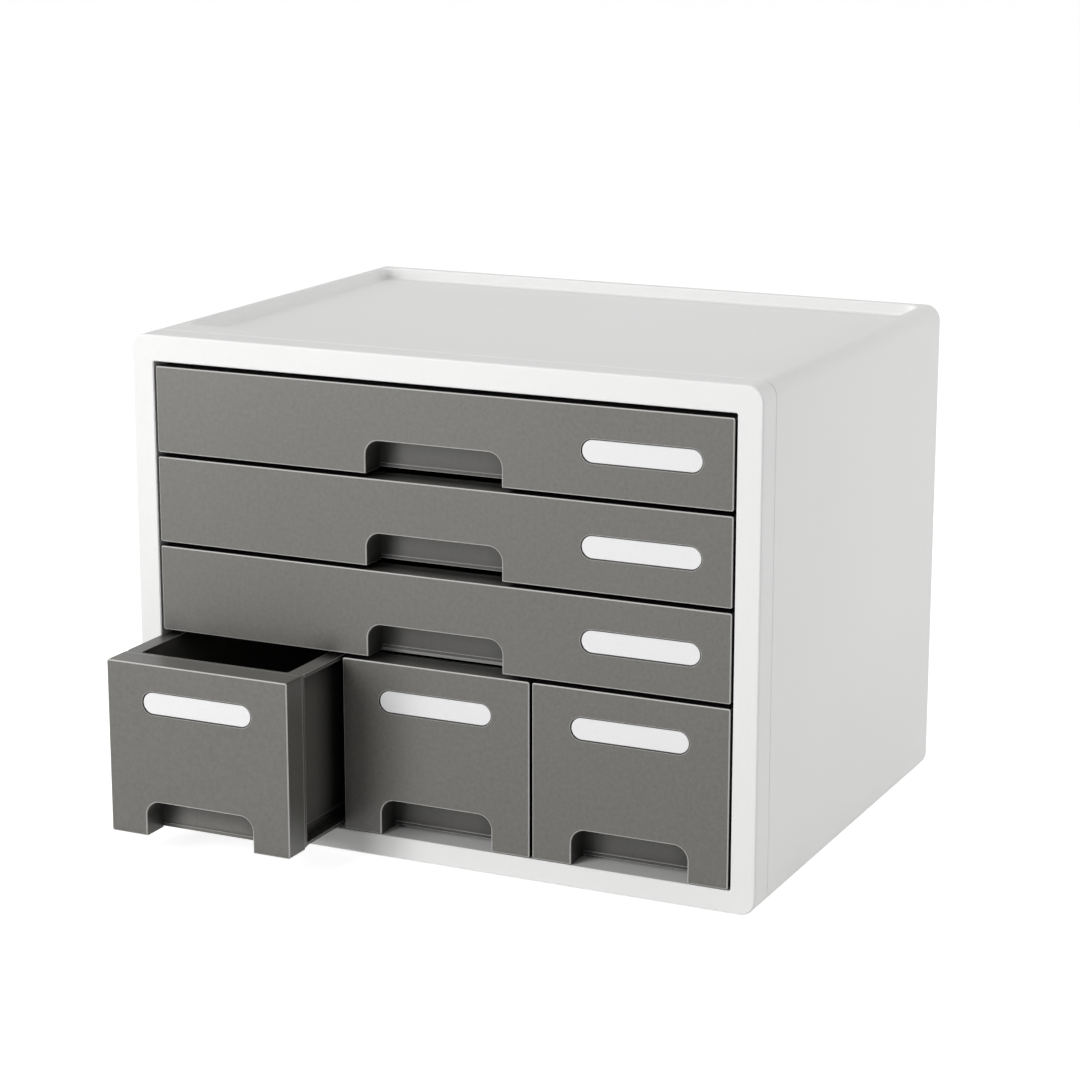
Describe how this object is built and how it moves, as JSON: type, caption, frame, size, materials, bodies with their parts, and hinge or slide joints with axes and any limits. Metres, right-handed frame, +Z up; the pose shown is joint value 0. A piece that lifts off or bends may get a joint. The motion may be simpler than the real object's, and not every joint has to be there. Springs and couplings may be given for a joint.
{
  "type": "desktop drawer cabinet",
  "caption": "Desktop cabinet in moulded plastic: wide shallow drawers above small deep ones, finger pockets, label cards and a top sunk into a tray.",
  "frame": {"origin": "middle of the whole part's box on the surface it stands on, with the left small drawer pulled out as in the picture; the casing's own middle is 28 mm behind it", "axes": "+X to the right seen from the front, +Y from front to back, +Z up"},
  "size_m": [0.362, 0.331, 0.2735],
  "materials": {
    "frame_white": "satin moulded plastic, white",
    "casing_white": "satin moulded plastic, white",
    "rack_grey": "plain moulded plastic, light grey, unseen",
    "drawer_grey": "fine-grained moulded plastic, warm dark grey",
    "label_card": "coated white card",
    "foot_rubber": "soft matt rubber"
  },
  "bodies": {
    "cabinet": {"front_frame": "frame_white", "casing": "casing_white", "back_panel": "casing_white", "shelf": "rack_grey", "feet": "foot_rubber", "runner_left": "rack_grey", "runner_right": "rack_grey", "divider_left": "rack_grey", "divider_right": "rack_grey"},
    "wide_lower_drawer": {"wide_lower_front": "drawer_grey", "wide_lower_box": "drawer_grey", "wide_lower_label": "label_card"},
    "wide_middle_drawer": {"wide_middle_front": "drawer_grey", "wide_middle_box": "drawer_grey", "wide_middle_label": "label_card"},
    "wide_upper_drawer": {"wide_upper_front": "drawer_grey", "wide_upper_box": "drawer_grey", "wide_upper_label": "label_card"},
    "small_left_drawer": {"small_left_front": "drawer_grey", "small_left_box": "drawer_grey", "small_left_label": "label_card"},
    "small_middle_drawer": {"small_middle_front": "drawer_grey", "small_middle_box": "drawer_grey", "small_middle_label": "label_card"},
    "small_right_drawer": {"small_right_front": "drawer_grey", "small_right_box": "drawer_grey", "small_right_label": "label_card"}
  },
  "joints": [
    {"name": "wide_lower_slide", "type": "slide", "parent": "cabinet", "child": "wide_lower_drawer", "axis": [0, -1, 0], "range_m": [0, 0.19]},
    {"name": "wide_middle_slide", "type": "slide", "parent": "cabinet", "child": "wide_middle_drawer", "axis": [0, -1, 0], "range_m": [0, 0.19]},
    {"name": "wide_upper_slide", "type": "slide", "parent": "cabinet", "child": "wide_upper_drawer", "axis": [0, -1, 0], "range_m": [0, 0.19]},
    {"name": "small_left_slide", "type": "slide", "parent": "cabinet", "child": "small_left_drawer", "axis": [0, -1, 0], "range_m": [-0.056, 0.134]},
    {"name": "small_middle_slide", "type": "slide", "parent": "cabinet", "child": "small_middle_drawer", "axis": [0, -1, 0], "range_m": [0, 0.19]},
    {"name": "small_right_slide", "type": "slide", "parent": "cabinet", "child": "small_right_drawer", "axis": [0, -1, 0], "range_m": [0, 0.19]}
  ]
}
